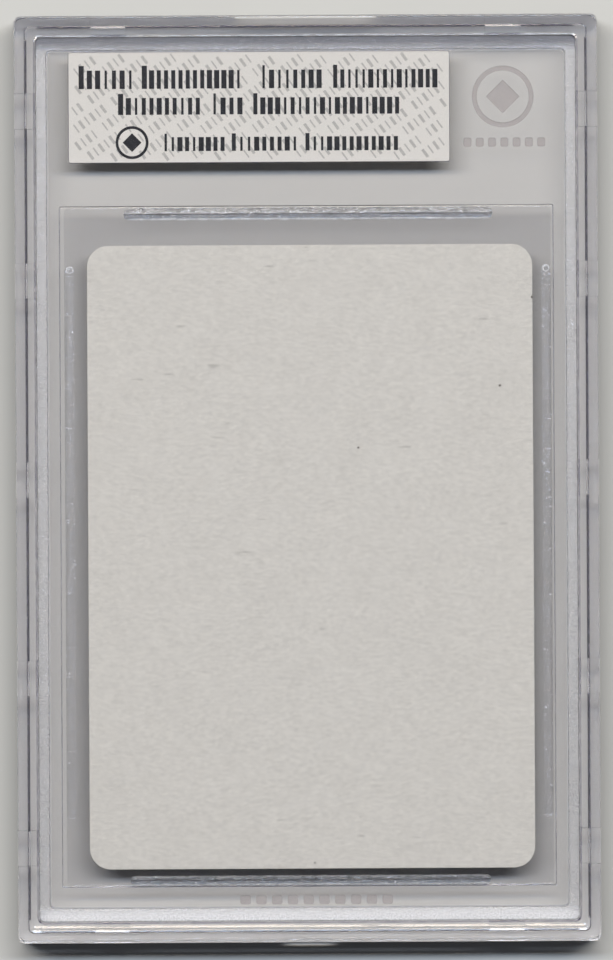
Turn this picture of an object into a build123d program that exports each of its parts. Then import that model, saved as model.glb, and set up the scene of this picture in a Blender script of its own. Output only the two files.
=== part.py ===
from build123d import *
import os

# Graded card slab: a clear sonic-welded case of two thick shells. A pocket in the front shell holds a trading card
# in a welded clear sleeve, and a shallow recess above it holds a paper label.
# The slab lies on its front. +X is to the right seen from the back, +Y points to the label end and +Z comes out
# of the back. The origin is under the middle of the slab, on the plane that the front lip rests on.
# All sizes are in millimetres.

# Overall case
SLAB_W = 83.0
SLAB_L = 132.0
SLAB_T = 8.0
OUTER_R = 1.0
EDGE_R = 0.3

# Zones counted inwards from the outer edge
SHOULDER_W = 1.45
PLATEAU_R = 0.85
WINDOW_INSET = 3.0
WINDOW_R = 0.8
SIDE_BAND_INSET = 4.6
END_BAND_INSET = 4.95
BAND_R = 0.7
LIP_W = 1.2
LIP_R = 0.8

# Heights
SEAM_Z = 4.0
SEAM_GAP = 0.1
SHOULDER_Z = 6.9
WINDOW_Z = 7.6
BACK_DECK_Z = 4.55
FRONT_DECK_Z = 4.35
WINDOW_RELIEF = 0.1
FRONT_RECESS = 0.8
BACK_GROOVE_Z = 6.5
FRONT_GROOVE_Z = 2.3
STEP_DRAFT = 12.0
STEP_BEVEL = 0.18
RECESS_BEVEL = 0.25

# Pocket for the sleeved card, cut in the front shell
POCKET_W = 70.5
POCKET_L = 97.1
POCKET_R = 0.3
POCKET_Y = -9.6
POCKET_FLOOR_Z = 3.4
POCKET_DRAFT = 8.0

# Sleeve: two clear sheets and the four melted seams between them, as (centre x, centre y, size x, size y)
SLEEVE_W = 69.3
SLEEVE_L = 96.6
SLEEVE_R = 0.4
SLEEVE_X = 0.15
SLEEVE_Y = -9.65
SHEET_T = 0.18
FRONT_SHEET_Z = 3.5
BACK_SHEET_Z = 4.32
SEAM_END_R = 0.6
SEAMS = {
    "seam_top": (0.25, 37.75, 52.6, 1.8),
    "seam_bottom": (0.2, -57.2, 51.4, 1.4),
    "seam_left": (-33.75, -9.0, 1.3, 78.8),
    "seam_right": (34.1, -9.0, 1.3, 78.8),
}

# Trading card
CARD_W = 63.5
CARD_L = 88.9
CARD_T = 0.45
CARD_R = 3.0
CARD_X = 0.45
CARD_Y = -11.15

# Label and its recess in the front shell
LABEL_W = 54.4
LABEL_L = 15.85
LABEL_T = 0.25
LABEL_X = -6.65
LABEL_Y = 53.0
LABEL_Z = 4.0
LABEL_FLOOR_Z = 3.95
LABEL_PLAY = 0.4

# Interlock keys between the two skirts
KEY_W = 5.0
KEY_CLEARANCE = 0.12
KEY_TOP_Z = 6.3
NOTCH_TOP_Z = 6.45
SIDE_KEY_Y = (-52.5, -28.3, 0.0, 28.3, 52.5)
END_KEY_X = (-28.1, 28.1)

# Details of the front shell
FINGER_NOTCH_W = 20.2
FINGER_NOTCH_D = 0.4
GATE_W = 6.5
GATE_D = 0.35
GATE_Z = (1.2, 2.6)

# Ornament engraved in the deck of the front shell
ENGRAVING = 0.25
RING_X = 28.1
RING_Y = 54.3
RING_OUTER_R = 4.4
RING_INNER_R = 3.7
DIAMOND_SIDE = 3.4
MARK_R = 0.3
# Rows of plain marks: (centre x, centre y, count, pitch, mark width, mark length)
UPPER_ROW = (28.3, 47.8, 7, 1.75, 1.15, 1.3)
LOWER_ROW = (1.0, -60.0, 10, 2.25, 1.5, 1.3)


def block(width, length, radius, low, high, x=0.0, y=0.0):
    """Upright block with a rounded rectangle for its plan, from one height to another."""
    return Pos(x, y, low) * extrude(RectangleRounded(width, length, radius), amount=high - low)


def inset_block(inset, radius, low, high):
    """Block whose sides lie a given distance inside the slab's outline."""
    return block(SLAB_W - 2 * inset, SLAB_L - 2 * inset, radius, low, high)


def groove(low, high):
    """Channel between the skirt and the deck, all the way round."""
    return inset_block(SHOULDER_W, PLATEAU_R, low, high) - inset_block(WINDOW_INSET, WINDOW_R, low, high)


def window_recess():
    """Recess of the back window, whose walls lean outwards."""
    width = SLAB_W - 2 * WINDOW_INSET
    length = SLAB_L - 2 * WINDOW_INSET
    low = Pos(0, 0, WINDOW_Z) * RectangleRounded(width, length, WINDOW_R)
    high = Pos(0, 0, SLAB_T) * RectangleRounded(
        width + 2 * RECESS_BEVEL, length + 2 * RECESS_BEVEL, WINDOW_R + RECESS_BEVEL
    )
    return loft([low, high])


def key_row(width, depth, low, high):
    """Blocks at each interlock position, reaching a given depth in from the slab's outline."""
    blocks = []
    for side in (-1, 1):
        x = side * (SLAB_W - depth) / 2
        for y in SIDE_KEY_Y:
            blocks.append(Pos(x, y, (low + high) / 2) * Box(depth, width, high - low))
    for end in (-1, 1):
        y = end * (SLAB_L - depth) / 2
        for x in END_KEY_X:
            blocks.append(Pos(x, y, (low + high) / 2) * Box(width, depth, high - low))
    return blocks


def mark_row(x, y, count, pitch, width, length):
    """Row of small rounded marks, cut to the depth of the engraving."""
    marks = []
    for index in range(count):
        mark_x = x + (index - (count - 1) / 2) * pitch
        marks.append(block(width, length, MARK_R, FRONT_DECK_Z - ENGRAVING, FRONT_DECK_Z, mark_x, y))
    return marks


def engraving():
    """Plain ornament: a ring round a diamond, and two rows of marks."""
    ring = Circle(RING_OUTER_R) - Circle(RING_INNER_R)
    diamond = Rot(0, 0, 45) * Rectangle(DIAMOND_SIDE, DIAMOND_SIDE)
    place = Pos(RING_X, RING_Y, FRONT_DECK_Z - ENGRAVING)
    cuts = [place * extrude(ring, amount=ENGRAVING), place * extrude(diamond, amount=ENGRAVING)]
    return cuts + mark_row(*UPPER_ROW) + mark_row(*LOWER_ROW)


def window_relief():
    """Shallow relief of the back deck inside the welded band, with leaning walls."""
    plan = RectangleRounded(SLAB_W - 2 * SIDE_BAND_INSET, SLAB_L - 2 * END_BAND_INSET, BAND_R)
    return Pos(0, 0, BACK_DECK_Z) * extrude(plan, amount=WINDOW_RELIEF, taper=45)


def pocket():
    """Pocket for the sleeve, whose drafted walls draw in towards its floor."""
    plan = Pos(0, POCKET_Y, FRONT_DECK_Z) * RectangleRounded(POCKET_W, POCKET_L, POCKET_R)
    return extrude(plan, amount=-(FRONT_DECK_Z - POCKET_FLOOR_Z), taper=POCKET_DRAFT)


def label_recess():
    """Shallow recess for the label, as long as the label and its play."""
    width = LABEL_W + 2 * LABEL_PLAY
    low_y = LABEL_Y - LABEL_L / 2 - LABEL_PLAY
    high_y = SLAB_L / 2 - END_BAND_INSET
    height = FRONT_DECK_Z - LABEL_FLOOR_Z
    return Pos(LABEL_X, (low_y + high_y) / 2, LABEL_FLOOR_Z + height / 2) * Box(width, high_y - low_y, height)


def edges_at(solid, height):
    """Every edge of a solid that lies flat at one height."""
    flat = solid.edges().filter_by(lambda edge: edge.bounding_box().size.Z < 1e-4)
    return flat.filter_by(lambda edge: abs(edge.center().Z - height) < 1e-3)


def plateau():
    """Raised middle of the back, whose drafted wall ends in a small bevel."""
    plan = RectangleRounded(SLAB_W - 2 * SHOULDER_W, SLAB_L - 2 * SHOULDER_W, PLATEAU_R)
    raised = Pos(0, 0, SHOULDER_Z) * extrude(plan, amount=SLAB_T - SHOULDER_Z, taper=STEP_DRAFT)
    return chamfer(edges_at(raised, SLAB_T), STEP_BEVEL)


def back_shell():
    """Clear rear half: skirt and shoulder, drafted plateau, recessed window and flat deck."""
    skirt = inset_block(0, OUTER_R, SEAM_Z + SEAM_GAP / 2, SHOULDER_Z)
    skirt = fillet(edges_at(skirt, SHOULDER_Z), EDGE_R)
    shell = skirt + plateau() - window_recess()
    shell -= inset_block(WINDOW_INSET, WINDOW_R, SEAM_Z, BACK_DECK_Z) + window_relief()
    shell -= groove(SEAM_Z, BACK_GROOVE_Z)
    for notch in key_row(KEY_W + 2 * KEY_CLEARANCE, SHOULDER_W, SEAM_Z, NOTCH_TOP_Z):
        shell -= notch
    return shell


def front_shell():
    """Clear front half: lip, front recess, skirt with keys, deck with the pocket, label recess and engraving."""
    shell = inset_block(0, OUTER_R, 0, SEAM_Z - SEAM_GAP / 2)
    shell = fillet(edges_at(shell, 0), EDGE_R)
    shell -= inset_block(LIP_W, LIP_R, 0, FRONT_RECESS)
    shell += inset_block(WINDOW_INSET, WINDOW_R, FRONT_GROOVE_Z, FRONT_DECK_Z)
    shell -= groove(FRONT_GROOVE_Z, SEAM_Z)
    shell -= Pos(0, SLAB_L / 2, SEAM_Z / 2) * Box(FINGER_NOTCH_W, 2 * FINGER_NOTCH_D, SEAM_Z)
    for key in key_row(KEY_W, WINDOW_INSET - KEY_CLEARANCE, FRONT_GROOVE_Z, KEY_TOP_Z):
        shell += key
    shell -= pocket()
    shell -= label_recess()
    for cut in engraving():
        shell -= cut
    shell += Pos(0, -SLAB_L / 2, sum(GATE_Z) / 2) * Box(GATE_W, 2 * GATE_D, GATE_Z[1] - GATE_Z[0])
    return shell


def perimeter_weld():
    """Melted bead between the two decks, all the way round."""
    outer = inset_block(WINDOW_INSET, WINDOW_R, FRONT_DECK_Z, BACK_DECK_Z)
    inner_w = SLAB_W - 2 * SIDE_BAND_INSET
    inner_l = SLAB_L - 2 * END_BAND_INSET
    return outer - block(inner_w, inner_l, BAND_R, FRONT_DECK_Z, BACK_DECK_Z)


def sleeve_sheet(low):
    """One flat clear sheet of the sleeve."""
    return block(SLEEVE_W, SLEEVE_L, SLEEVE_R, low, low + SHEET_T, SLEEVE_X, SLEEVE_Y)


def sleeve_seam(x, y, width, length):
    """Melted seam between the two sheets."""
    return block(width, length, SEAM_END_R, FRONT_SHEET_Z + SHEET_T, BACK_SHEET_Z, x, y)


def trading_card():
    """Paperboard card with rounded corners, midway between the sheets."""
    mid = (FRONT_SHEET_Z + SHEET_T + BACK_SHEET_Z) / 2
    return block(CARD_W, CARD_L, CARD_R, mid - CARD_T / 2, mid + CARD_T / 2, CARD_X, CARD_Y)


def grade_label():
    """Paper insert with square corners."""
    return Pos(LABEL_X, LABEL_Y, LABEL_Z + LABEL_T / 2) * Box(LABEL_W, LABEL_L, LABEL_T)


parts = {
    "back_shell": back_shell(),
    "front_shell": front_shell(),
    "perimeter_weld": perimeter_weld(),
    "sleeve_front_sheet": sleeve_sheet(FRONT_SHEET_Z),
    "sleeve_back_sheet": sleeve_sheet(BACK_SHEET_Z),
    "trading_card": trading_card(),
    "grade_label": grade_label(),
}
for seam_name, seam_sizes in SEAMS.items():
    parts[seam_name] = sleeve_seam(*seam_sizes)

os.makedirs("parts", exist_ok=True)
for name, solid in parts.items():
    export_step(solid, f"parts/{name}.step")
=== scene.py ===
"""Graded card slab: two clear welded shells round a sleeved card and a paper label.

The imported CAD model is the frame. The shells keep their CAD shape and get a clear plastic finish. The melted
beads, the sleeve, the card and the label are surfaces worked out here, in metres, in the same frame.
"""

import logging
import math
from dataclasses import dataclass, field
from enum import Enum
from typing import Callable

import bpy
import numpy as np
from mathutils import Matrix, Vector

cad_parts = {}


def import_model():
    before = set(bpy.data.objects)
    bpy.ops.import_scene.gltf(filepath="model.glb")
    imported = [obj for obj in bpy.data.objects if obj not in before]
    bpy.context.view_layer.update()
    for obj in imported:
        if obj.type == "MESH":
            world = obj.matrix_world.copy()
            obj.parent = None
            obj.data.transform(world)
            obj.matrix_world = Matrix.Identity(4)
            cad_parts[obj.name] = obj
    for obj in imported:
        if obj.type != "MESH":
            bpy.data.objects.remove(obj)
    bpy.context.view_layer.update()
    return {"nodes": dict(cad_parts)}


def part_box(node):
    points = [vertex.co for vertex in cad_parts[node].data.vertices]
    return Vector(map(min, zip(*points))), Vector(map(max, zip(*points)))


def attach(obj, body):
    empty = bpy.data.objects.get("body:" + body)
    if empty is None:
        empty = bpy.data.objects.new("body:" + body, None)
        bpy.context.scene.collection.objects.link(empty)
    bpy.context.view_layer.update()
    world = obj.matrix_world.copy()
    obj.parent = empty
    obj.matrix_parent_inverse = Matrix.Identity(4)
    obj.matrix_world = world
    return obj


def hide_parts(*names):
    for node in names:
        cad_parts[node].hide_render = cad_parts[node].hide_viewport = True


LOG = logging.getLogger("slab")
MM = 0.001
Array = np.ndarray
Colour = tuple[float, float, float]
Piece = bpy.types.Object
Material = bpy.types.Material
Socket = bpy.types.NodeSocket


# ----------------------------------------------------------------------------------------------------
# Meshes from arrays
# ----------------------------------------------------------------------------------------------------


def make_object(name: str, points: Array, faces: Array, smooth: bool = True) -> Piece:
    """Puts arrays of points and four-sided faces into a new object at the origin.

    Args:
        name: Name of the piece.
        points: Corners, in metres, as rows of three numbers.
        faces: Corner numbers, as rows of four.
        smooth: True if the faces are shaded smooth.

    Returns:
        The new object, linked to the scene.
    """
    mesh = bpy.data.meshes.new(name)
    mesh.vertices.add(len(points))
    mesh.vertices.foreach_set("co", points.astype(np.float32).ravel())
    mesh.loops.add(faces.size)
    mesh.loops.foreach_set("vertex_index", faces.astype(np.int32).ravel())
    mesh.polygons.add(len(faces))
    mesh.polygons.foreach_set("loop_start", np.arange(0, faces.size, faces.shape[1], dtype=np.int32))
    mesh.polygons.foreach_set("use_smooth", np.full(len(faces), smooth))
    mesh.update(calc_edges=True)
    mesh.validate()
    piece = bpy.data.objects.new(name, mesh)
    bpy.context.scene.collection.objects.link(piece)
    return piece


def grid_faces(rows: int, columns: int, wrap_rows: bool = False, wrap_columns: bool = False) -> Array:
    """Four-sided faces between the points of a grid that is stored row after row.

    Args:
        rows: Number of rows of points.
        columns: Number of points in a row.
        wrap_rows: True if the last row joins the first.
        wrap_columns: True if each row is a closed loop.

    Returns:
        Corner numbers, as rows of four.
    """
    row = np.arange(rows if wrap_rows else rows - 1)[:, None]
    column = np.arange(columns if wrap_columns else columns - 1)[None, :]
    next_row = (row + 1) % rows
    next_column = (column + 1) % columns
    corners = (row * columns + column, row * columns + next_column)
    corners += (next_row * columns + next_column, next_row * columns + column)
    return np.stack([c.ravel() for c in np.broadcast_arrays(*corners)], axis=1)


def ripple(where: Array, seed: int, waves: int, shortest: float, longest: float) -> Array:
    """Smooth seeded noise along a line.

    Formula: a sum of sines whose wavelengths are spread evenly by ratio from the longest to the shortest,
    each with a seeded phase and a height that falls with the root of its wavelength, scaled to about one.

    Args:
        where: Distance along the line.
        seed: Seed of the phases.
        waves: Number of sines.
        shortest: Shortest wavelength, in the unit of where.
        longest: Longest wavelength, in the unit of where.

    Returns:
        Noise of about plus or minus one at each place.
    """
    random = np.random.default_rng(seed)
    lengths = np.geomspace(longest, shortest, waves) * random.uniform(0.85, 1.15, waves)
    phases = random.uniform(0.0, 2.0 * math.pi, waves)
    heights = np.sqrt(lengths / longest)
    total = np.sin(where[..., None] * 2.0 * math.pi / lengths + phases) @ heights
    return total / np.sqrt(np.sum(heights**2))


def loop_outline(width: float, length: float, radius: float, step: float) -> Array:
    """Closed outline of a rounded rectangle about the origin, counter-clockwise.

    Formula: four quarter circles, one at each corner's centre, joined by straight sides that are divided into
    steps of about the same length.

    Args:
        width: Size along X.
        length: Size along Y.
        radius: Corner radius.
        step: Spacing of the points on the straight sides.

    Returns:
        Points as rows of two.
    """
    turn = np.linspace(0.0, math.pi / 2.0, 9)
    half = np.array([width / 2.0 - radius, length / 2.0 - radius])
    corners = []
    for quarter, sign in enumerate(((1, 1), (-1, 1), (-1, -1), (1, -1))):
        angle = turn + quarter * math.pi / 2.0
        corners.append(half * sign + radius * np.stack([np.cos(angle), np.sin(angle)], axis=1))
    outline = []
    for corner, following in zip(corners, corners[1:] + corners[:1]):
        gap = following[0] - corner[-1]
        parts = max(2, round(float(np.linalg.norm(gap)) / step))
        share = np.linspace(0.0, 1.0, parts + 1)[1:-1, None]
        outline += [corner, corner[-1] + share * gap]
    return np.concatenate(outline)


@dataclass(frozen=True)
class Plate:
    """A flat closed plate with rounded corners and softly rounded edges, in metres."""

    width: float
    length: float
    corner: float
    low: float
    high: float
    centre: tuple[float, float]
    edge: float
    step: float = 0.8 * MM
    powers: tuple[float, float] = (0.7, 0.45)

    def lines(self, size: float) -> Array:
        """Grid lines across one size, from -1 to 1, with one at each end of the corners.

        Args:
            size: Width or length of the plate's flat face.

        Returns:
            Sorted places from -1 to 1.
        """
        bend = 1.0 - 2.0 * self.corner / size
        straight = np.linspace(-bend, bend, max(2, round(size / self.step)))
        inside = np.linspace(bend, 1.0, 8)[1:]
        return np.concatenate([-inside[::-1], straight, inside])

    def face(self, grow: float) -> Array:
        """Points of a flat face of the plate, grown by a distance from its smallest size.

        Formula: a square grid over the rectangle. In each corner square, with a and b as the shares of the
        corner radius along X and Y, the point moves to a times the root of 1 - b*b/2, and b times the root of
        1 - a*a/2, which bends the square's far sides into a quarter circle.

        Args:
            grow: Distance from the flat face's outline.

        Returns:
            Points as a grid of rows of two.
        """
        flat = np.array([self.width, self.length]) - 2.0 * self.edge
        u = self.lines(flat[0])[None, :]
        v = self.lines(flat[1])[:, None]
        radius = self.corner
        straight = flat / 2.0 - radius
        x, y = np.broadcast_arrays(np.abs(u) * flat[0] / 2.0, np.abs(v) * flat[1] / 2.0)
        a = np.clip((x - straight[0]) / radius, 0.0, 1.0)
        b = np.clip((y - straight[1]) / radius, 0.0, 1.0)
        full = (radius + grow) / radius
        bent_x = np.where(a > 0, straight[0] + radius * full * a * np.sqrt(1.0 - b * b / 2.0), x)
        bent_y = np.where(b > 0, straight[1] + radius * full * b * np.sqrt(1.0 - a * a / 2.0), y)
        return np.stack([np.sign(u) * bent_x, np.sign(v) * bent_y], axis=-1)

    def build(self, name: str, lift: Callable[[Array], Array] | None = None) -> Piece:
        """Makes the plate: a top face, a rounded edge and a bottom face.

        Formula: the edge is a squared-off half ellipse. At angle t from the top the outline has grown by the
        edge radius times a power of the sine of t, and the height is the middle plus half the thickness times
        a power of the cosine of t, both powers being below one.

        Args:
            name: Name of the piece.
            lift: Function of the flat points that gives a height to add to both faces, or None.

        Returns:
            The new object.
        """
        top = self.face(0.0)
        rows, columns = top.shape[:2]
        bend = np.zeros((rows, columns)) if lift is None else lift(top)
        number = np.arange(rows * columns).reshape(rows, columns)
        rim = np.concatenate([number[0, :-1], number[:-1, -1], number[-1, :0:-1], number[:0:-1, 0]])
        flat = top.reshape(-1, 2)
        height = bend.reshape(-1)
        angles = np.linspace(0.0, math.pi, 9)[1:-1]
        outward = self.rim_normals(flat[rim])
        layers = [np.column_stack([flat, np.full(len(flat), self.high) + height])]
        middle, half = (self.low + self.high) / 2.0, (self.high - self.low) / 2.0
        for angle in angles:
            grown = flat[rim] + outward * self.edge * math.sin(angle) ** self.powers[0]
            level = middle + half * math.copysign(abs(math.cos(angle)) ** self.powers[1], math.cos(angle))
            layers.append(np.column_stack([grown, np.full(len(rim), level) + height[rim]]))
        layers.append(np.column_stack([flat, np.full(len(flat), self.low) + height]))
        count, ring = len(flat), len(rim)
        faces = [grid_faces(rows, columns)]
        loops = [rim] + [count + i * ring + np.arange(ring) for i in range(len(angles))]
        loops.append(count + len(angles) * ring + rim)
        for upper, lower in zip(loops[:-1], loops[1:]):
            faces.append(np.stack([upper, lower, np.roll(lower, -1), np.roll(upper, -1)], axis=1))
        faces.append(grid_faces(rows, columns)[:, ::-1] + count + len(angles) * ring)
        points = np.concatenate(layers) + np.array([*self.centre, 0.0])
        return make_object(name, points, np.concatenate(faces))

    @staticmethod
    def rim_normals(rim: Array) -> Array:
        """Outward unit normals of a closed counter-clockwise outline, from its neighbours' chord.

        Args:
            rim: Points of the outline as rows of two.

        Returns:
            Unit normals as rows of two.
        """
        chord = np.roll(rim, -1, axis=0) - np.roll(rim, 1, axis=0)
        normal = np.stack([chord[:, 1], -chord[:, 0]], axis=1)
        return normal / np.linalg.norm(normal, axis=1, keepdims=True)


# ----------------------------------------------------------------------------------------------------
# Finishes
# ----------------------------------------------------------------------------------------------------


@dataclass(frozen=True)
class Tint:
    """Shares of red, green and blue lamp light that a clear piece's faces let through."""

    flat: Colour = (0.985, 0.985, 0.985)
    inner: Colour = (0.63, 0.63, 0.645)
    entering: Colour = (0.13, 0.14, 0.18)
    leaving: Colour = (0.012, 0.012, 0.016)
    outer_half: tuple[float, float] = (41.3 * MM, 65.8 * MM)
    shoulder: float = 6.85 * MM


class Nodes:
    """A short way to write a material's node tree."""

    def __init__(self, name: str) -> None:
        """Starts an empty material of that name."""
        self.material = bpy.data.materials.new(name)
        self.material.use_nodes = True
        self.tree = self.material.node_tree
        self.tree.nodes.clear()

    def add(self, kind: str, settings: dict | None = None, **inputs: object) -> bpy.types.Node:
        """Adds a node.

        Args:
            kind: Type name of the node, without its ShaderNode prefix.
            settings: Properties of the node itself.
            **inputs: Values or sockets for its inputs, with _ for a space, or in0, in1 and so on by number.

        Returns:
            The new node.
        """
        node = self.tree.nodes.new("ShaderNode" + kind)
        for key, value in (settings or {}).items():
            setattr(node, key, value)
        for key, value in inputs.items():
            numbered = key.startswith("in") and key[2:].isdigit()
            socket = node.inputs[int(key[2:]) if numbered else key.replace("_", " ")]
            if isinstance(value, Socket):
                self.tree.links.new(value, socket)
            else:
                socket.default_value = value
        return node

    def maths(self, operation: str, *values: object) -> Socket:
        """Adds a Math node and returns its result.

        Args:
            operation: Name of the operation.
            *values: Its inputs, in order, as numbers or sockets.
        """
        inputs = {f"in{i}": value for i, value in enumerate(values)}
        return self.add("Math", {"operation": operation}, **inputs).outputs[0]

    def blend(self, factor: object, first: object, second: object) -> Socket:
        """Mixes two colours, each three numbers or a socket, by a factor and returns the result."""
        settings = {"data_type": "RGBA", "clamp_factor": True}
        pair = [(*c, 1.0) if isinstance(c, tuple) else c for c in (first, second)]
        return self.add("Mix", settings, in0=factor, in6=pair[0], in7=pair[1]).outputs[2]

    def ramp(self, source: Socket, low: float, high: float) -> Socket:
        """Stretches a value so that low becomes 0 and high becomes 1, with nothing outside."""
        settings = {"clamp": True}
        return self.add("MapRange", settings, in0=source, in1=low, in2=high, in3=0.0, in4=1.0).outputs[0]

    def place(self, scale: tuple[float, float, float] = (1.0, 1.0, 1.0), turn: float = 0.0) -> Socket:
        """Object coordinates in millimetres, stretched and turned about Z.

        Args:
            scale: Share kept of each coordinate; a small one draws the pattern out along that axis.
            turn: Turn about Z in degrees.
        """
        where = self.add("TexCoord").outputs["Object"]
        size = [s / MM for s in scale]
        mapped = self.add("Mapping", {"vector_type": "POINT"}, Vector=where, Scale=size)
        mapped.inputs["Rotation"].default_value = (0.0, 0.0, math.radians(turn))
        return mapped.outputs[0]

    def noise(self, where: object, scale: float, detail: float = 2.0, rough: float = 0.5) -> Socket:
        """Noise of a given number of features per millimetre."""
        inputs = {"Vector": where, "Scale": scale, "Detail": detail, "Roughness": rough}
        return self.add("TexNoise", None, **inputs).outputs[0]

    def bump(self, height: object, depth: float) -> Socket:
        """Turns a height of 0 to 1 into a normal, for relief of a given depth in metres."""
        return self.add("Bump", None, Height=height, Distance=depth, Strength=1.0).outputs[0]

    def axes(self, vector: Socket | None = None) -> list[Socket]:
        """Splits a vector into X, Y and Z; without one, the object coordinates in millimetres."""
        return list(self.add("SeparateXYZ", None, Vector=vector or self.place()).outputs)

    def flatness(self) -> Socket:
        """1 on a level face and 0 on an upright one, from the face's own normal."""
        normal = self.add("NewGeometry").outputs["True Normal"]
        return self.maths("ABSOLUTE", self.axes(normal)[2])

    def coat(self, colour: object, roughness: float, **inputs: object) -> Socket:
        """Adds a Principled shader.

        Args:
            colour: Three numbers, or a socket.
            roughness: Its roughness.
            **inputs: Values or sockets for its other inputs, as in add.
        """
        base = (*colour, 1.0) if isinstance(colour, tuple) else colour
        return self.add("BsdfPrincipled", None, Base_Color=base, Roughness=roughness, **inputs).outputs[0]

    def mix(self, share: object, first: Socket, second: Socket) -> Socket:
        """Mixes two shaders by a share of the second."""
        return self.add("MixShader", None, in0=share, in1=first, in2=second).outputs[0]

    def finish(self, surface: Socket) -> Material:
        """Joins the last shader to the output and returns the material."""
        self.add("OutputMaterial", None, Surface=surface)
        return self.material

    def finish_clear(self, shader: Socket, tint: Tint) -> Material:
        """Ends a clear material so that lamp light passes flat faces, and scattered light passes them unbent.

        The slab's outer walls and its step let less lamp light into the plastic than its flat faces, and
        almost none out of it. Such rays are followed from the lit surface to the lamp, so one that meets a
        wall from inside is light going in. Small walls inside the slab only dim the light.

        Args:
            shader: The clear shader that the eye sees.
            tint: Shares of light that the faces let through.

        Returns:
            The material.
        """
        upright = self.ramp(self.flatness(), 0.9, 0.4)
        inside = self.add("NewGeometry").outputs["Backfacing"]
        where = self.axes()
        sides = [self.maths("ABSOLUTE", where[i]) for i in (0, 1)]
        past = [self.maths("GREATER_THAN", side, half / MM) for side, half in zip(sides, tint.outer_half)]
        raised = self.maths("GREATER_THAN", where[2], tint.shoulder / MM)
        outer = self.maths("MAXIMUM", self.maths("MAXIMUM", *past), raised)
        wall = self.blend(outer, tint.inner, self.blend(inside, tint.leaving, tint.entering))
        colour = self.blend(upright, tint.flat, wall)
        path = self.add("LightPath")
        turned_back = self.maths("MULTIPLY", self.maths("MULTIPLY", upright, outer), inside)
        goes_on = self.maths("SUBTRACT", 1.0, turned_back)
        scattered = self.maths("MULTIPLY", path.outputs["Is Diffuse Ray"], goes_on)
        passing = self.maths("MAXIMUM", path.outputs["Is Shadow Ray"], scattered)
        open_way = self.add("BsdfTransparent", None, Color=colour).outputs[0]
        return self.finish(self.mix(passing, shader, open_way))


@dataclass(frozen=True)
class ClearPlastic:
    """Polished clear polystyrene with hairline scuffs and a faint waviness, frosted where it is engraved."""

    name: str = "polished_plastic"
    colour: Colour = (0.996, 0.988, 0.999)
    tint: Tint = field(default_factory=Tint)
    index: float = 1.5
    roughness: float = 0.02
    scuffs: tuple[tuple[float, float], ...] = ((23.0, 0.05), (-58.0, 0.08))
    scuff_share: float = 0.25
    scuff_depth: float = 0.004 * MM
    frosted_height: float | None = None
    frost: Colour = (0.42, 0.38, 0.37)
    frost_share: float = 0.55
    # The next three fields give painted dark shade on the steep walls between two heights.
    wall_shade: Colour = (0.2, 0.18, 0.26)
    wall_shade_share: float = 0.55
    wall_shade_heights: tuple[float, float] = (6.92 * MM, 7.98 * MM)

    def build(self) -> Material:
        """Makes the material: long thin scratches two ways and a broad ripple of the moulded face."""
        work = Nodes(self.name)
        scratches = None
        for turn, stretch in self.scuffs:
            lines = work.noise(work.place((stretch, 1.0, 1.0), turn), 1.6, 1.0)
            fine = work.ramp(lines, 0.67, 0.72)
            scratches = fine if scratches is None else work.maths("ADD", scratches, fine)
        waves = work.noise(work.place(), 0.06, 1.0)
        height = work.maths("ADD", work.maths("MULTIPLY", scratches, self.scuff_share), waves)
        normal = work.bump(height, self.scuff_depth)
        clear = work.coat(self.colour, self.roughness, IOR=self.index, Transmission_Weight=1.0, Normal=normal)
        # Painted dark shade on the steep small walls.
        shader = self.shade_walls(work, clear)
        if self.frosted_height is not None:
            shader = self.frosted(work, shader)
        return work.finish_clear(shader, self.tint)

    def shade_walls(self, work: Nodes, clear: Socket) -> Socket:
        """Mixes painted dark shade into the clear shader on the steep small walls between two heights, in
        patches.

        Args:
            work: The material's nodes.
            clear: The clear shader.

        Returns:
            The mixed shader.
        """
        height = work.axes()[2]
        low, high = (h / MM for h in self.wall_shade_heights)
        above = work.maths("GREATER_THAN", height, low)
        zone = work.maths("MULTIPLY", above, work.maths("LESS_THAN", height, high))
        steep = work.ramp(work.flatness(), 0.8, 0.5)
        patches = work.ramp(work.noise(work.place(), 0.8, 3.0), 0.25, 0.6)
        # Painted shade: dark and patchy, on steep walls inside the height band.
        painted_shade = work.maths("MULTIPLY_ADD", patches, 0.5 * self.wall_shade_share, 0.6 * self.wall_shade_share)
        share = work.maths("MULTIPLY", work.maths("MULTIPLY", zone, steep), painted_shade)
        return work.mix(share, clear, work.coat(self.wall_shade, 0.9))

    def frosted(self, work: Nodes, clear: Socket) -> Socket:
        """Mixes a matt frost into the clear shader on the floor of the engraving.

        Args:
            work: The material's nodes.
            clear: The clear shader.

        Returns:
            The mixed shader.
        """
        gap = work.maths("ABSOLUTE", work.maths("SUBTRACT", work.axes()[2], self.frosted_height / MM))
        grain = work.ramp(work.noise(work.place(), 7.0, 2.0), 0.2, 0.7)
        matt_share = work.maths("MULTIPLY_ADD", grain, 0.3, self.frost_share)
        share = work.maths("MULTIPLY", work.ramp(gap, 0.03, 0.02), matt_share)
        return work.mix(share, clear, work.coat(self.frost, 0.8))


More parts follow.
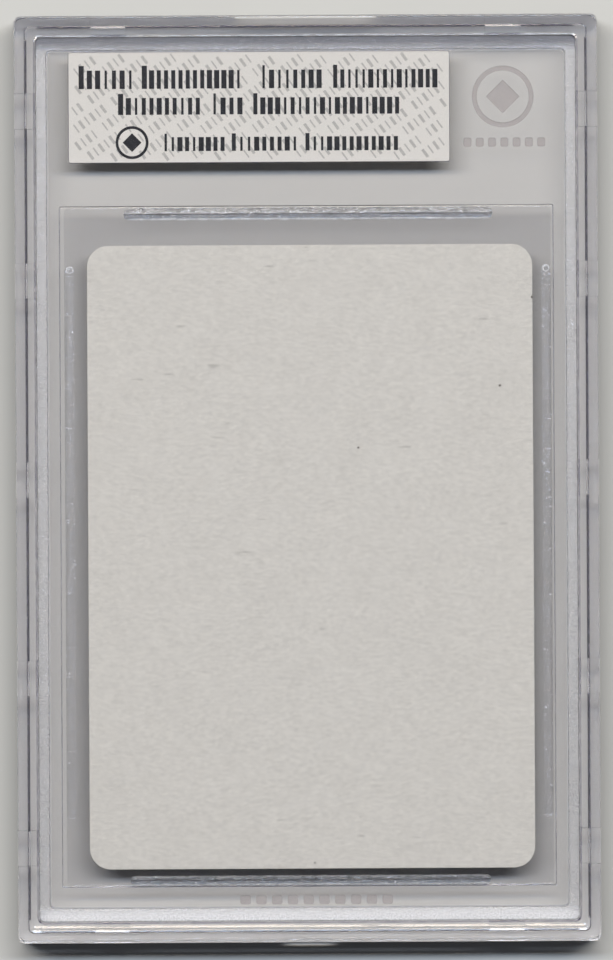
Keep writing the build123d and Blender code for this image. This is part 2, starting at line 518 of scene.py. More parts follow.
@dataclass(frozen=True)
class MeltedPlastic:
    """Clear plastic that was melted by the welding horn: frosted, pitted and full of tiny bubbles."""

    name: str = "frosted_weld"
    dark: Colour = (0.64, 0.64, 0.66)
    light: Colour = (1.0, 1.0, 1.0)
    # Painted shade at the label end of the slab; the next colour is painted light at its foot end and also the
    # white of a seam's crest.
    label_end_shade: Colour = (0.37, 0.39, 0.45)
    foot_light_and_crest: Colour = (0.97, 0.97, 0.98)
    foot_light_share: float = 0.6
    end_shading_bands: tuple[float, float] = (60.9 * MM, 62.2 * MM)
    tint: Tint = field(default_factory=lambda: Tint(flat=(0.95, 0.95, 0.95), inner=(0.8, 0.8, 0.8)))
    index: float = 1.36
    roughness: float = 0.2
    pit_depth: float = 0.05 * MM
    grain: float = 3.4
    speckle: tuple[float, float] = (0.35, 0.6)
    stretch: tuple[float, float, float] = (1.0, 1.0, 1.0)
    clearness: float = 0.96
    middle: float | None = None
    # Painted blue-grey shade on the lower half of a seam across the slab.
    lower: Colour = (0.55, 0.61, 0.69)
    line: Colour = (0.12, 0.11, 0.12)
    line_half: float = 0.13 * MM
    crest_drop: float = 0.58 * MM
    crest_share: float = 0.9
    wander: float = 0.6 * MM

    def build(self) -> Material:
        """Makes the material: cells for the bubbles over a fine grain, painted shade at the label end and
        painted light at the foot end of the slab.
        """
        work = Nodes(self.name)
        where = work.place(self.stretch)
        cells = work.add("TexVoronoi", {"feature": "F1"}, Vector=where, Scale=self.grain).outputs["Distance"]
        grain = work.noise(where, 2.6 * self.grain, 3.0)
        height = work.maths("ADD", cells, work.maths("MULTIPLY", grain, 0.8))
        speckle = work.ramp(work.noise(where, 1.3 * self.grain, 3.0, 0.7), self.speckle[0], self.speckle[1])
        along = work.axes()[1]
        light, gap, crest = self.layers(work, along)
        even = work.blend(gap, work.blend(speckle, self.dark, light), self.line)
        near, far = (edge / MM for edge in self.end_shading_bands)
        # Painted shade towards the label end.
        clear = work.coat(
            work.blend(work.ramp(along, near, far), even, self.label_end_shade),
            self.roughness,
            IOR=self.index,
            Transmission_Weight=self.clearness,
            Normal=work.bump(height, self.pit_depth),
        )
        # Painted light towards the foot end.
        foot = work.maths("MULTIPLY", work.ramp(along, -near, -far), self.foot_light_share)
        patchy = work.maths("MULTIPLY", foot, work.maths("MULTIPLY_ADD", speckle, 0.5, 0.6))
        share = work.maths("MAXIMUM", patchy, crest)
        return work.finish_clear(work.mix(share, clear, work.coat(self.foot_light_and_crest, 0.8)), self.tint)

    def layers(self, work: Nodes, along: Socket) -> tuple[object, object, object]:
        """Tells the two layers of a seam that lies across the slab apart, and gives the lower one painted
        blue-grey shade.

        Args:
            work: The material's nodes.
            along: Place along the slab in millimetres.

        Returns:
            The colour of the clear grains, the share of the dark gap between the layers, and the share of the
            white crest along the lower edge. Without a middle line these are one even colour and no shares.
        """
        if self.middle is None:
            return self.light, 0.0, 0.0
        rough = work.noise(work.place((1.1, 1.0, 1.0)), 3.0, 3.0, 0.7)
        wander = work.maths("MULTIPLY", work.maths("SUBTRACT", rough, 0.5), self.wander / MM)
        across = work.maths("ADD", work.maths("SUBTRACT", along, self.middle / MM), wander)
        # Painted blue-grey shade below the seam's middle line.
        light = work.blend(work.ramp(across, 0.1, -0.1), self.light, self.lower)
        half = self.line_half / MM
        gap = work.maths("MULTIPLY", work.ramp(work.maths("ABSOLUTE", across), half, 0.4 * half), 0.8)
        drop = self.crest_drop / MM
        crest = work.maths("MULTIPLY", work.ramp(across, -drop, -drop - 0.06), self.crest_share)
        return light, gap, crest


@dataclass(frozen=True)
class SleeveFilm:
    """Clear semi-rigid sheet with a soft unevenness."""

    name: str = "clear_film"
    colour: Colour = (0.975, 0.975, 0.98)
    tint: Tint = field(default_factory=lambda: Tint(flat=(0.948, 0.948, 0.952), inner=(0.8, 0.8, 0.8)))
    index: float = 1.5
    roughness: float = 0.03
    ripple_depth: float = 0.006 * MM

    def build(self) -> Material:
        """Makes the material: broad ripples drawn out along the sheet."""
        work = Nodes(self.name)
        waves = work.noise(work.place((1.0, 0.3, 1.0)), 0.25, 2.0)
        normal = work.bump(waves, self.ripple_depth)
        clear = work.coat(self.colour, self.roughness, IOR=self.index, Transmission_Weight=1.0, Normal=normal)
        return work.finish_clear(clear, self.tint)


@dataclass(frozen=True)
class CardBoard:
    """Uncoated grey-white paperboard with fibres and specks on its back, and a plain printed front."""

    name: str = "grey_board"
    light: Colour = (0.905, 0.875, 0.797)
    dark: Colour = (0.765, 0.737, 0.67)
    speck: Colour = (0.12, 0.1, 0.08)
    border: Colour = (0.82, 0.81, 0.78)
    field_colour: Colour = (0.16, 0.3, 0.42)
    fibre_depth: float = 0.02 * MM
    middle: tuple[float, float, float] = (0.45 * MM, -11.15 * MM, 4.0 * MM)
    inner: tuple[float, float] = (57.0 * MM, 82.0 * MM)

    def build(self) -> Material:
        """Makes the material: fibres drawn out across the card, a mottle and scattered specks."""
        work = Nodes(self.name)
        fibres = work.noise(work.place((0.5, 1.0, 1.0)), 2.2, 5.0, 0.8)
        mottle = work.noise(work.place(), 0.2, 3.0, 0.6)
        tone = work.maths("MULTIPLY_ADD", fibres, 0.85, work.maths("MULTIPLY", mottle, 0.15))
        base = work.blend(work.ramp(tone, 0.38, 0.62), self.dark, self.light)
        cells = work.add("TexVoronoi", {"feature": "F1"}, Vector=work.place(), Scale=0.22)
        dots = work.ramp(cells.outputs["Distance"], 0.05, 0.03)
        rare = work.ramp(work.noise(work.place(), 0.9), 0.5, 0.6)
        hairs = work.ramp(work.noise(work.place((0.2, 1.0, 1.0), 12.0), 1.1, 2.0), 0.735, 0.775)
        marks = work.maths("MAXIMUM", work.maths("MULTIPLY", dots, rare), work.maths("MULTIPLY", hairs, 0.22))
        colour = self.printed(work, work.blend(marks, base, self.speck))
        relief = work.bump(fibres, self.fibre_depth)
        return work.finish(work.coat(colour, 0.85, Normal=relief, Specular_IOR_Level=0.25))

    def printed(self, work: Nodes, back: Socket) -> Socket:
        """Adds the front's plain print: a pale border round a shaded field with slanting bands.

        Args:
            work: The material's nodes.
            back: Colour of the back and the edges.

        Returns:
            Colour for both sides.
        """
        where = work.axes()
        x, y = (work.maths("ABSOLUTE", work.maths("SUBTRACT", where[i], self.middle[i] / MM)) for i in (0, 1))
        out_x = work.maths("GREATER_THAN", x, self.inner[0] / MM / 2.0)
        out_y = work.maths("GREATER_THAN", y, self.inner[1] / MM / 2.0)
        slant = work.maths("SINE", work.maths("MULTIPLY_ADD", where[0], 0.9, where[1]))
        pale = tuple(0.5 * c + 0.35 for c in self.field_colour)
        inside = work.blend(work.ramp(slant, 0.75, 0.8), self.field_colour, pale)
        front = work.blend(work.maths("MAXIMUM", out_x, out_y), inside, self.border)
        below = work.maths("LESS_THAN", where[2], self.middle[2] / MM)
        facing = work.maths("GREATER_THAN", work.flatness(), 0.9)
        return work.blend(work.maths("MULTIPLY", below, facing), back, front)


@dataclass(frozen=True)
class LabelPaper:
    """Smooth white printing paper."""

    name: str = "white_paper"
    light: Colour = (0.775, 0.745, 0.695)
    dark: Colour = (0.71, 0.685, 0.64)
    # Painted dark contact shade on the cut edge.
    cut_edge_shade: Colour = (0.13, 0.12, 0.15)
    grain_depth: float = 0.008 * MM

    def build(self) -> Material:
        """Makes the material: a fine even grain, and painted dark shade on the cut edge."""
        work = Nodes(self.name)
        grain = work.noise(work.place(), 5.0, 3.0)
        face = work.blend(work.ramp(grain, 0.3, 0.7), self.dark, self.light)
        # Painted shade on the edge faces.
        colour = work.blend(work.ramp(work.flatness(), 0.999, 0.985), face, self.cut_edge_shade)
        return work.finish(work.coat(colour, 0.7, Normal=work.bump(grain, self.grain_depth)))


@dataclass(frozen=True)
class PrintInk:
    """Printing ink that has soaked a little into its paper."""

    name: str
    colour: Colour
    faded: Colour
    roughness: float = 0.6

    def build(self) -> Material:
        """Makes the material: the ink's colour, a little uneven."""
        work = Nodes(self.name)
        grain = work.noise(work.place(), 5.0, 2.0)
        colour = work.blend(work.ramp(grain, 0.45, 0.75), self.colour, self.faded)
        return work.finish(work.coat(colour, self.roughness, Specular_IOR_Level=0.15))


@dataclass(frozen=True)
class TableTop:
    """Pale matt table top."""

    name: str = "pale_table"
    light: Colour = (0.695, 0.685, 0.65)
    dark: Colour = (0.665, 0.655, 0.62)

    def build(self) -> Material:
        """Makes the material: a plain matt surface with a faint mottle."""
        work = Nodes(self.name)
        colour = work.blend(work.noise(work.place(), 0.05, 2.0), self.dark, self.light)
        return work.finish(work.coat(colour, 0.95, Specular_IOR_Level=0.1))


def dress(piece: Piece, material: Material) -> None:
    """Gives a piece one material in place of any it had."""
    piece.data.materials.clear()
    piece.data.materials.append(material)


def settle(piece: Piece, node: str, body: str, material: Material) -> None:
    """Dresses a piece, puts it in the place of its CAD node and lets it ride on its body.

    Args:
        piece: The new piece.
        node: CAD node that it replaces.
        body: Body that carries it.
        material: Its finish.
    """
    dress(piece, material)
    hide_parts(node)
    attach(piece, body)
    LOG.info("made %s", piece.name)


def plan_box(node: str) -> tuple[Array, Array]:
    """Middle and size of a CAD node seen from above, each as X and Y."""
    low, high = (np.array(corner)[:2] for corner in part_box(node))
    return (low + high) / 2.0, high - low


# ----------------------------------------------------------------------------------------------------
# Sub-assemblies
# ----------------------------------------------------------------------------------------------------


@dataclass
class Case:
    """The two clear shells and the melted bead that joins them."""

    bead_width: tuple[float, float] = (1.55 * MM, 1.9 * MM)
    bead_corner: float = 0.75 * MM
    bead_step: float = 0.12 * MM
    ragged: float = 0.012 * MM
    clearance: float = 0.004 * MM
    engraving_floor: float = 4.1 * MM
    pocket_walls: tuple[float, float] = (3.42 * MM, 4.33 * MM)

    def build(self, nodes: dict[str, Piece]) -> None:
        """Dresses the CAD shells and makes the bead.

        Args:
            nodes: The CAD nodes by name.
        """
        dress(nodes["back_shell"], ClearPlastic().build())
        # The front shell also gets painted dark shade on its pocket walls.
        front = ClearPlastic(
            "engraved_plastic",
            frosted_height=self.engraving_floor,
            wall_shade_heights=self.pocket_walls,
            wall_shade_share=0.4,
        )
        dress(nodes["front_shell"], front.build())
        LOG.info("dressed back_shell and front_shell")
        settle(self.perimeter_bead(), "perimeter_weld", "case", MeltedPlastic().build())

    def perimeter_bead(self) -> Piece:
        """Makes the flat ring of melted plastic between the shells.

        Formula: two rounded rectangles with matching points are the inner and outer edges. A lens section,
        whose half height falls with the cube of the distance from its middle, is carried round between them,
        and each edge is pushed in or out by its own ripple.

        Returns:
            The new piece.
        """
        low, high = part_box("perimeter_weld")
        size = np.array(high - low)[:2]
        inner_size = size - 2.0 * np.array(self.bead_width)
        outer = loop_outline(size[0], size[1], self.bead_corner, self.bead_step)
        inner = outer * (inner_size / size)
        travel = np.concatenate([[0.0], np.cumsum(np.linalg.norm(np.diff(outer, axis=0), axis=1))])
        normal = Plate.rim_normals(outer)
        outer = outer - normal * self.ragged * (1.0 + ripple(travel / MM, 11, 10, 0.3, 4.0))[:, None]
        inner = inner + normal * self.ragged * (ripple(travel / MM, 12, 10, 0.25, 4.0))[:, None]
        around = np.linspace(0.0, 2.0 * math.pi, 13)[:-1]
        across = 0.5 + 0.5 * np.cos(around)
        lift = np.sign(np.round(np.sin(around), 6)) * (1.0 - np.abs(np.cos(around)) ** 3)
        middle = (low.z + high.z) / 2.0
        half = (high.z - low.z) / 2.0 - self.clearance
        flat = inner[:, None, :] * (1.0 - across[None, :, None]) + outer[:, None, :] * across[None, :, None]
        heights = np.broadcast_to(middle + half * lift, flat.shape[:2])
        points = np.concatenate([flat, heights[..., None]], axis=-1).reshape(-1, 3)
        faces = grid_faces(len(outer), len(around), wrap_rows=True, wrap_columns=True)[:, ::-1]
        return make_object("perimeter_bead", points, faces)


@dataclass
class Sleeve:
    """Two clear sheets and the four melted seams between them."""

    corner: float = 0.4 * MM
    edge: float = 0.12 * MM
    warp: float = 0.015 * MM
    sheet_step: float = 2.0 * MM
    seam_step: float = 0.1 * MM
    ragged: float = 0.06 * MM
    ragged_waves: tuple[int, float, float] = (14, 0.3, 3.0)
    groove: float = 0.45
    groove_width: float = 0.22
    groove_wander: float = 0.25
    section_powers: tuple[float, float] = (0.6, 0.5)
    end_power: float = 0.3
    pitting: float = 0.06
    clearance: float = 0.005 * MM
    bubble_radius: float = 0.17 * MM
    bubble_spacing: float = 3.2 * MM
    bubble_lanes: tuple[float, float] = (-0.3, 0.34)
    bubble_reach: float = 0.47
    bubble_drift: float = 0.04
    bubble_depth: float = 0.3
    ring_radius: float = 0.42 * MM

    def build(self) -> None:
        """Makes the sheets and the seams, which replace their CAD nodes."""
        film = SleeveFilm().build()
        for seed, side in ((21, "front"), (22, "back")):
            node = f"sleeve_{side}_sheet"
            settle(self.sheet(node, f"sleeve_{side}_film", seed), node, "sleeve", film)
        white = MeltedPlastic("white_melt", dark=(0.9, 0.9, 0.92), roughness=0.3, clearness=0.25).build()
        smooth = MeltedPlastic(
            "melted_film", dark=(0.86, 0.86, 0.88), roughness=0.1, pit_depth=0.02 * MM, clearness=1.0
        ).build()
        for seed, name in enumerate(("seam_top", "seam_bottom", "seam_left", "seam_right"), 31):
            low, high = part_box(name)
            across = high.x - low.x > high.y - low.y
            finish = self.layered_finish(name, low.y, high.y).build() if across else smooth
            settle(self.seam(name, f"melted_{name}", seed), name, "sleeve", finish)
            settle(self.bubbles(name, f"bubbles_{name}", seed), name, "sleeve", white)
        for name in ("seam_left", "seam_right"):
            settle(self.end_ring(name, f"start_{name}"), name, "sleeve", white)

    @staticmethod
    def layered_finish(name: str, low: float, high: float) -> MeltedPlastic:
        """Finish of a seam across the slab, where the horn left two rough layers, the lower one with painted
        blue-grey shade.

        Args:
            name: Name of the seam.
            low: Its lower edge along the slab.
            high: Its upper edge.
        """
        return MeltedPlastic(
            f"layered_{name}",
            dark=(0.45, 0.45, 0.46),
            roughness=0.12,
            pit_depth=0.06 * MM,
            grain=3.0,
            speckle=(0.4, 0.58),
            stretch=(0.35, 1.3, 1.0),
            middle=(low + high) / 2.0,
            crest_drop=0.33 * (high - low),
        )

    def sheet(self, node: str, name: str, seed: int) -> Piece:
        """Makes one sheet, a thin plate with a slight warp.

        Args:
            node: CAD node that gives its size and place.
            name: Name of the piece.
            seed: Seed of the warp.

        Returns:
            The new piece.
        """
        low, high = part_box(node)
        centre, size = plan_box(node)
        heights = (low.z + self.warp, high.z - self.warp)
        plate = Plate(*size, self.corner, *heights, tuple(centre), self.edge, self.sheet_step)

        def lift(flat: Array) -> Array:
            """Height of the warp: one ripple along X times one along Y, in the sheet's free thickness."""
            along = ripple(flat[..., 0] / MM, seed, 3, 20.0, 60.0)
            across = ripple(flat[..., 1] / MM, seed + 100, 3, 25.0, 80.0)
            return self.warp * 0.4 * along * across

        return plate.build(name, lift)

    def seam(self, node: str, name: str, seed: int) -> Piece:
        """Makes one melted seam, a bar with ragged edges, rounded ends and a wandering groove.

        Formula: an oval section is carried along the bar's long axis. Its half width is the bar's, times the
        root of 1 - t*t near the ends, where t is the share of the end radius passed, plus a ripple on each
        side. The groove is a bell curve across the bar, whose middle follows a ripple of its own.

        Args:
            node: CAD node that gives its size and place.
            name: Name of the piece.
            seed: Seed of the ripples.

        Returns:
            The new piece.
        """
        low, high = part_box(node)
        middle = (low + high) / 2.0
        size = high - low
        upright = size.y > size.x
        length, width = (size.y, size.x) if upright else (size.x, size.y)
        end = width * 0.5
        rows = round(length / self.seam_step)
        along = np.linspace(-1.0, 1.0, rows) * length / 2.0
        reach = np.clip((np.abs(along) - (length / 2.0 - end)) / end, 0.0, 1.0)
        taper = np.sqrt(np.clip(1.0 - reach**2, 0.0004, 1.0))
        around = np.linspace(0.0, 2.0 * math.pi, 25)[:-1]
        side = np.sign(np.cos(around)) * np.abs(np.cos(around)) ** self.section_powers[0]
        left = self.ragged * (ripple(along / MM, seed, *self.ragged_waves) - 1.0)
        right = self.ragged * (ripple(along / MM, seed + 50, *self.ragged_waves) - 1.0)
        shift = np.where(side[None, :] > 0, right[:, None], left[:, None]) * np.abs(side)[None, :]
        across = (width / 2.0 * side[None, :] + np.sign(side)[None, :] * shift) * taper[:, None]
        lift = np.sign(np.sin(around)) * np.abs(np.sin(around)) ** self.section_powers[1]
        wander = self.groove_wander * ripple(along / MM, seed + 90, 12, 0.35, 5.0)[:, None]
        dip = 1.0 - self.groove * np.exp(-(((side[None, :] - wander) / self.groove_width) ** 2))
        pits = np.clip(1.0 + ripple(along / MM, seed + 70, 8, 0.5, 5.0), 0.0, None)
        pitted = 1.0 - self.pitting * pits[:, None]
        half = size.z / 2.0 - self.clearance
        tall = middle.z + half * lift[None, :] * dip * pitted * taper[:, None] ** self.end_power
        long = np.broadcast_to(along[:, None], across.shape)
        plan = (across + middle.x, long + middle.y) if upright else (long + middle.x, middle.y - across)
        points = np.stack([*plan, tall], axis=-1).reshape(-1, 3)
        body = grid_faces(rows, len(around), wrap_columns=True)
        ends = self.end_caps(rows, len(around))
        return make_object(name, points, np.concatenate([body[:, ::-1], ends]))

    def bubbles(self, node: str, name: str, seed: int) -> Piece:
        """Makes small trapped bubbles along both edges of a seam.

        Formula: each bubble is a ball with a seeded radius, as a tube whose radius is the sine of its angle,
        and all of them are the same grid of points, scaled and shifted.

        Args:
            node: CAD node of the seam.
            name: Name of the piece.
            seed: Seed of the places and sizes.

        Returns:
            The new piece.
        """
        low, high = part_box(node)
        random = np.random.default_rng(seed)
        size = np.array(high - low)
        count = round(float(max(size[:2])) / self.bubble_spacing)
        share = random.uniform(-self.bubble_reach, self.bubble_reach, (count, 3))
        thin = int(np.argmin(size[:2]))
        lane = random.choice(self.bubble_lanes, count)
        share[:, thin] = lane + random.normal(0.0, self.bubble_drift, count)
        share[:, 2] *= self.bubble_depth
        centres = (np.array(low) + np.array(high)) / 2.0 + share * size
        radii = self.bubble_radius * random.uniform(0.5, 1.0, count) ** 2
        rings, round_it = 7, 10
        angle = np.linspace(0.2, math.pi - 0.2, rings)[:, None]
        turn = np.linspace(0.0, 2.0 * math.pi, round_it + 1)[None, :-1]
        parts = np.broadcast_arrays(np.sin(angle) * np.cos(turn), np.sin(angle) * np.sin(turn), np.cos(angle))
        ball = np.stack(parts, axis=-1).reshape(-1, 3)
        points = centres[:, None, :] + radii[:, None, None] * ball[None]
        body = grid_faces(rings, round_it, wrap_columns=True)
        faces = np.concatenate([body[:, ::-1], self.end_caps(rings, round_it)])
        shifted = faces[None] + (np.arange(count) * len(ball))[:, None, None]
        return make_object(name, points.reshape(-1, 3), shifted.reshape(-1, 4))

    def end_ring(self, node: str, name: str) -> Piece:
        """Makes the small raised ring where a side seam was started.

        Formula: a round section is carried round a circle, and its radius grows towards the label end by one
        plus the sine of the angle round the circle.

        Args:
            node: CAD node of the seam.
            name: Name of the piece.

        Returns:
            The new piece.
        """
        low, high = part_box(node)
        turn = np.linspace(0.0, 2.0 * math.pi, 49)[:-1, None]
        around = np.linspace(0.0, 2.0 * math.pi, 13)[None, :-1]
        thick = self.bubble_radius * (0.35 + 0.35 * (1.0 + np.sin(turn)))
        reach = self.ring_radius + thick * np.cos(around)
        x = (low.x + high.x) / 2.0 + reach * np.cos(turn)
        y = high.y - self.ring_radius - self.bubble_radius + reach * np.sin(turn)
        z = (low.z + high.z) / 2.0 + thick * np.sin(around)
        points = np.stack([x, y, z], axis=-1)
        faces = grid_faces(*points.shape[:2], wrap_rows=True, wrap_columns=True)[:, ::-1]
        return make_object(name, points.reshape(-1, 3), faces)

    @staticmethod
    def end_caps(rows: int, columns: int) -> Array:
        """Four-sided faces that close both ends of a tube with an even number of points round it.

        Args:
            rows: Number of rings of points.
            columns: Number of points round each ring.

        Returns:
            Corner numbers, as rows of four.
        """
        steps = np.arange(columns // 2 - 1)
        first = np.stack([steps, steps + 1, columns - 2 - steps, columns - 1 - steps], axis=1)
        last = first[:, ::-1] + (rows - 1) * columns
        return np.concatenate([first, last])


@dataclass
class TradingCard:
    """A standard paperboard card, its plain back up."""

    corner: float = 3.0 * MM
    edge: float = 0.05 * MM

    def build(self) -> None:
        """Makes the board, which replaces its CAD node."""
        low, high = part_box("trading_card")
        centre, size = plan_box("trading_card")
        plate = Plate(*size, self.corner, low.z, high.z, tuple(centre), self.edge)
        settle(plate.build("card_board_blank"), "trading_card", "card", CardBoard().build())


class Band(Enum):
    """The label's three printed bands: height above its middle and of their tallest bars, in millimetres."""

    UPPER = (4.3, 3.3)
    MIDDLE = (0.45, 3.0)
    LOWER = (-5.0, 2.5)


@dataclass
class GradeLabel:
    """The paper insert above the card, printed with plain bars, an ornament and a pale slanting pattern."""

    corner: float = 0.2 * MM
    edge: float = 0.16 * MM
    ink_film: float = 0.012 * MM
    bar_pitch: float = 1.02
    bar_margin: float = 0.3
    bar_widths: tuple[float, ...] = (0.34, 0.58, 0.74)
    bar_shares: tuple[float, ...] = (0.25, 0.35, 0.4)
    low_bar: float = 0.8
    diamond: float = 1.9
    slant: float = 36.0
    ticks: tuple[int, int] = (14, 34)
    tick_length: float = 1.35 * MM
    tick_widths: tuple[float, float] = (0.22 * MM, 0.42 * MM)
    tick_shift: float = 0.31 * MM
    tick_gap: int = 7
    tick_margin: tuple[float, float] = (0.75 * MM, 0.8 * MM)
    line_pitch: float = 2.15 * MM
    tick_pitch: float = 0.95 * MM
    ornament: tuple[float, float] = (-18.1 * MM, -5.0 * MM)
    ring: tuple[float, float] = (2.35 * MM, 1.95 * MM)
    groups: dict[Band, tuple[tuple[float, float], ...]] = field(
        default_factory=lambda: {
            Band.UPPER: ((-25.6, -18.0), (-16.6, -2.6), (0.4, 8.9), (10.6, 25.4)),
            Band.MIDDLE: ((-20.0, -8.4), (-6.6, -2.4), (-0.8, 20.0)),
            Band.LOWER: ((-13.6, -4.9), (-3.9, 5.4), (6.6, 19.8)),
        }
    )

    def build(self) -> None:
        """Makes the paper and its print, which replace their CAD node."""
        low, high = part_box("grade_label")
        centre, size = plan_box("grade_label")
        top = high.z - 2.0 * self.ink_film
        paper = Plate(*size, self.corner, low.z, top, tuple(centre), self.edge).build("label_sheet")
        pale = PrintInk("pale_ink", (0.47, 0.455, 0.43), (0.56, 0.545, 0.515)).build()
        ticks = self.print_boxes("pale_pattern", self.slanting_ticks(size), centre, top, top + self.ink_film)
        black = PrintInk("black_ink", (0.012, 0.012, 0.015), (0.03, 0.03, 0.035)).build()
        bars = self.print_boxes("printed_bars", self.bars(), centre, top, high.z)
        ring = self.printed_ring(centre, top, high.z)
        for piece, material in ((paper, LabelPaper().build()), (ticks, pale), (bars, black), (ring, black)):
            settle(piece, "grade_label", "label", material)

    def bars(self) -> Array:
        """Upright bars in groups, and the diamond of the ornament.

        Formula: the bars of a group stand about one pitch apart, thick and thin by a seeded choice, and the
        first of each group is the tallest.

        Returns:
            Rows of centre x, centre y, width, height and turn, in metres and degrees.
        """
        random = np.random.default_rng(7)
        rows = []
        for band, groups in self.groups.items():
            height, tall = band.value
            for start, end in groups:
                count = max(3, round((end - start) / self.bar_pitch))
                x = np.linspace(start + self.bar_margin, end - self.bar_margin, count)
                width = random.choice(self.bar_widths, count, p=self.bar_shares)
                rise = np.where(np.arange(count) == 0, tall, self.low_bar * tall)
                y = height - tall / 2.0 + rise / 2.0
                rows.append(np.stack([x, y, width, rise, np.zeros(count)], axis=1))
        x, y = np.array(self.ornament) / MM
        rows.append(np.array([[x, y, self.diamond, self.diamond, 45.0]]))
        return np.concatenate(rows) * np.array([MM, MM, MM, MM, 1.0])

    def slanting_ticks(self, size: Array) -> Array:
        """Short strokes in slanting lines all over the label.

        Formula: a grid of lines and ticks is turned by the slant, every seventh tick is left out with a shift
        from line to line, and those whose ends would leave the label are dropped.

        Args:
            size: Width and length of the label.

        Returns:
            Rows of centre x, centre y, width, height and turn.
        """
        angle = math.radians(self.slant)
        lines, ticks = self.ticks
        line = np.arange(-lines, lines + 1)[:, None]
        tick = np.arange(-ticks, ticks + 1)[None, :]
        shifted = tick * self.tick_pitch + (line % 3) * self.tick_shift
        along, across = np.broadcast_arrays(shifted, line * self.line_pitch)
        shown = (tick + 3 * line) % self.tick_gap != 0
        x = along * math.cos(angle) - across * math.sin(angle)
        y = along * math.sin(angle) + across * math.cos(angle)
        reach = size / 2.0 - np.array(self.tick_margin)
        inside = (np.abs(x) < reach[0]) & (np.abs(y) < reach[1]) & shown
        count = int(inside.sum())
        width = np.where((tick + line) % 2 == 0, *self.tick_widths)[inside]
        rest = (width, np.full(count, self.tick_length), np.full(count, self.slant))
        return np.stack([x[inside], y[inside], *rest], axis=1)

    @staticmethod
    def print_boxes(name: str, bars: Array, centre: Array, low: float, high: float) -> Piece:
        """Makes thin closed boxes of ink.

        Args:
            name: Name of the piece.
            bars: Rows of centre x, centre y, width, height and turn.
            centre: Middle of the label.
            low: Height of the paper.
            high: Height of the ink's face.

        Returns:
            The new piece.
        """
        corner = np.array([[-1, -1], [1, -1], [1, 1], [-1, 1]]) / 2.0
        flat = corner[None] * bars[:, None, 2:4]
        angle = np.radians(bars[:, 4])[:, None]
        x = flat[..., 0] * np.cos(angle) - flat[..., 1] * np.sin(angle) + bars[:, None, 0] + centre[0]
        y = flat[..., 0] * np.sin(angle) + flat[..., 1] * np.cos(angle) + bars[:, None, 1] + centre[1]
        below = np.stack([x, y, np.full_like(x, low)], axis=-1)
        above = np.stack([x, y, np.full_like(x, high)], axis=-1)
        points = np.concatenate([below, above], axis=1).reshape(-1, 3)
        sides = [[0, 3, 2, 1], [4, 5, 6, 7], [0, 1, 5, 4], [1, 2, 6, 5], [2, 3, 7, 6], [3, 0, 4, 7]]
        faces = (np.arange(len(bars))[:, None, None] * 8 + np.array(sides)).reshape(-1, 4)
        return make_object(name, points, faces, smooth=False)

    def printed_ring(self, centre: Array, low: float, high: float) -> Piece:
        """Makes the ornament's ring, a flat square section carried round a circle.

        Args:
            centre: Middle of the label.
            low: Height of the paper.
            high: Height of the ink's face.

        Returns:
            The new piece.
        """
        turn = np.linspace(0.0, 2.0 * math.pi, 97)[:-1, None]
        outer, inner = self.ring
        radius = np.array([[outer, outer, inner, inner]])
        height = np.broadcast_to(np.array([[low, high, high, low]]), (len(turn), 4))
        x = radius * np.cos(turn) + centre[0] + self.ornament[0]
        y = radius * np.sin(turn) + centre[1] + self.ornament[1]
        points = np.stack([x, y, height], axis=-1).reshape(-1, 3)
        faces = grid_faces(len(turn), 4, wrap_rows=True, wrap_columns=True)[:, ::-1]
        return make_object("printed_ring", points, faces, smooth=False)


# ----------------------------------------------------------------------------------------------------
# Studio
# ----------------------------------------------------------------------------------------------------


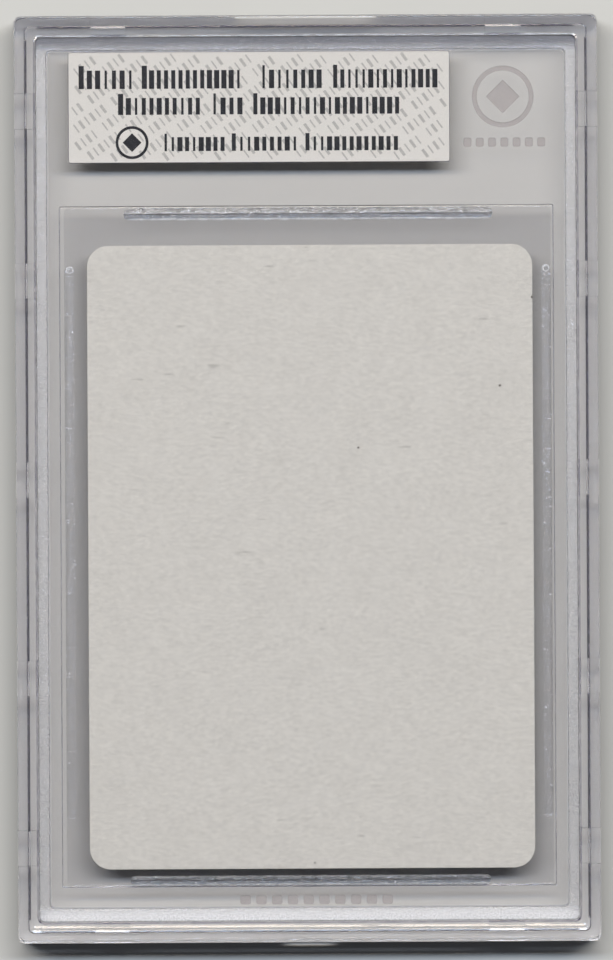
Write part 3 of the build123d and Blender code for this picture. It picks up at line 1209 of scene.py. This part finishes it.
@dataclass
class Studio:
    """Pale table top, a long soft lamp beyond the label end, dim surroundings and a camera straight above."""

    view_length: float = 136.6 * MM
    lens: float = 300.0
    sensor: float = 36.0
    roll: float = 0.3
    aim: tuple[float, float, float] = (-0.14 * MM, -0.21 * MM, 7.0 * MM)
    key_power: float = 28.0
    key_size: tuple[float, float] = (2.4, 0.3)
    key_distance: float = 1.47
    key_tilt: float = 20.5
    cool: Colour = (0.85, 0.98, 1.16)
    warm: Colour = (1.15, 1.02, 0.84)
    sky: float = 0.035
    sky_colour: Colour = (0.88, 0.93, 1.05)
    haze: float = 0.5
    haze_top: float = 30.0
    table_half: float = 6.0
    table_drop: float = 0.02 * MM

    def build(self) -> None:
        """Makes the table, lights and camera."""
        self.table()
        self.lamps()
        self.camera()
        scene = bpy.context.scene
        scene.view_settings.view_transform = "Standard"
        scene.cycles.max_bounces = 20
        scene.cycles.transmission_bounces = 20
        scene.cycles.transparent_max_bounces = 48

    def table(self) -> None:
        """Makes the table top just under the slab."""
        corners = self.table_half * np.array([[-1, -1, 0], [1, -1, 0], [1, 1, 0], [-1, 1, 0]])
        points = corners - np.array([0.0, 0.0, self.table_drop])
        top = make_object("table_top", points, np.array([[0, 1, 2, 3]]), smooth=False)
        dress(top, TableTop().build())

    def lamps(self) -> None:
        """Makes the two halves of the long key lamp, and the dim surroundings."""
        half = math.degrees(self.key_size[1] / self.key_distance) / 4.0
        self.key("key_cool", self.key_tilt - half, self.cool)
        self.key("key_warm", self.key_tilt + half, self.warm)
        self.surroundings()

    def surroundings(self) -> None:
        """Makes the world: a pale band round the horizon that fades to a dim ceiling."""
        world = bpy.data.worlds.new("surroundings")
        world.use_nodes = True
        tree = world.node_tree
        where = tree.nodes.new("ShaderNodeTexCoord")
        parts = tree.nodes.new("ShaderNodeSeparateXYZ")
        fade = tree.nodes.new("ShaderNodeMapRange")
        fade.interpolation_type = "SMOOTHSTEP"
        steep = math.sin(math.radians(self.haze_top))
        for number, value in enumerate((steep, 0.0, self.sky, self.haze), 1):
            fade.inputs[number].default_value = value
        tree.links.new(where.outputs["Object"], parts.inputs[0])
        tree.links.new(parts.outputs["Z"], fade.inputs[0])
        background = tree.nodes["Background"]
        background.inputs["Color"].default_value = (*self.sky_colour, 1.0)
        tree.links.new(fade.outputs[0], background.inputs["Strength"])
        bpy.context.scene.world = world

    def key(self, name: str, tilt: float, colour: Colour) -> None:
        """Makes one half of the key lamp.

        Args:
            name: Name of the lamp.
            tilt: Angle from straight above towards the label end, in degrees.
            colour: Colour of its light.
        """
        data = bpy.data.lights.new(name, "AREA")
        data.shape = "RECTANGLE"
        data.size, data.size_y = self.key_size[0], self.key_size[1] / 2.0
        data.energy = self.key_power / 2.0
        data.color = colour
        lamp = bpy.data.objects.new(name, data)
        angle = math.radians(tilt)
        place = Vector((0.0, math.sin(angle), math.cos(angle))) * self.key_distance
        lamp.location = place
        lamp.rotation_euler = place.to_track_quat("Z", "Y").to_euler()
        lamp.visible_camera = False
        bpy.context.scene.collection.objects.link(lamp)

    def camera(self) -> None:
        """Makes the camera, looking straight down with a slight roll."""
        data = bpy.data.cameras.new("camera")
        data.lens = self.lens
        data.sensor_width = self.sensor
        data.clip_start, data.clip_end = 0.05, 20.0
        camera = bpy.data.objects.new("camera", data)
        distance = self.view_length * self.lens / self.sensor
        camera.location = Vector(self.aim) + Vector((0.0, 0.0, distance))
        camera.rotation_euler = (0.0, 0.0, -math.radians(self.roll))
        bpy.context.scene.collection.objects.link(camera)
        bpy.context.scene.camera = camera


def main() -> None:
    """Builds the slab's looks in order."""
    logging.basicConfig(level=logging.INFO, format="%(name)s: %(message)s")
    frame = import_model()
    Case().build(frame["nodes"])
    Sleeve().build()
    TradingCard().build()
    GradeLabel().build()
    Studio().build()


if __name__ == "__main__":
    main()
